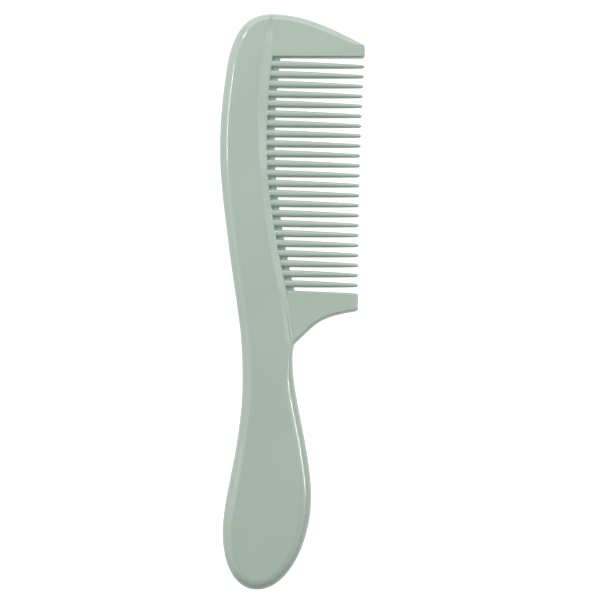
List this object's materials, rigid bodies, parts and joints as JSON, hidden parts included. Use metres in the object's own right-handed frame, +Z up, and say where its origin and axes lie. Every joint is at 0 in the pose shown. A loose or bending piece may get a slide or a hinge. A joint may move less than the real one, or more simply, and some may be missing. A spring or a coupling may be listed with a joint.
{
  "type": "handle comb",
  "caption": "One-piece moulded comb with a paddle-shaped handle, a bowed thick spine and a row of even tapered teeth between two guards.",
  "frame": {"origin": "under the middle of the comb's length and width, on the surface that it lies on", "axes": "+Y along the comb from the handle to the head, +X towards the tips of the teeth, +Z up through the front face"},
  "size_m": [0.0474, 0.19, 0.006],
  "materials": {
    "moulded_plastic": "gloss, sage green"
  },
  "bodies": {
    "root": {"handle": "moulded_plastic", "spine": "moulded_plastic", "top_guard": "moulded_plastic", "bottom_guard": "moulded_plastic", "root_webs": "moulded_plastic", "tooth_01": "moulded_plastic", "tooth_02": "moulded_plastic", "tooth_03": "moulded_plastic", "tooth_04": "moulded_plastic", "tooth_05": "moulded_plastic", "tooth_06": "moulded_plastic", "tooth_07": "moulded_plastic", "tooth_08": "moulded_plastic", "tooth_09": "moulded_plastic", "tooth_10": "moulded_plastic", "tooth_11": "moulded_plastic", "tooth_12": "moulded_plastic", "tooth_13": "moulded_plastic", "tooth_14": "moulded_plastic", "tooth_15": "moulded_plastic", "tooth_16": "moulded_plastic", "tooth_17": "moulded_plastic", "tooth_18": "moulded_plastic", "tooth_19": "moulded_plastic", "tooth_20": "moulded_plastic", "tooth_21": "moulded_plastic", "tooth_22": "moulded_plastic", "tooth_23": "moulded_plastic"}
  },
  "joints": []
}
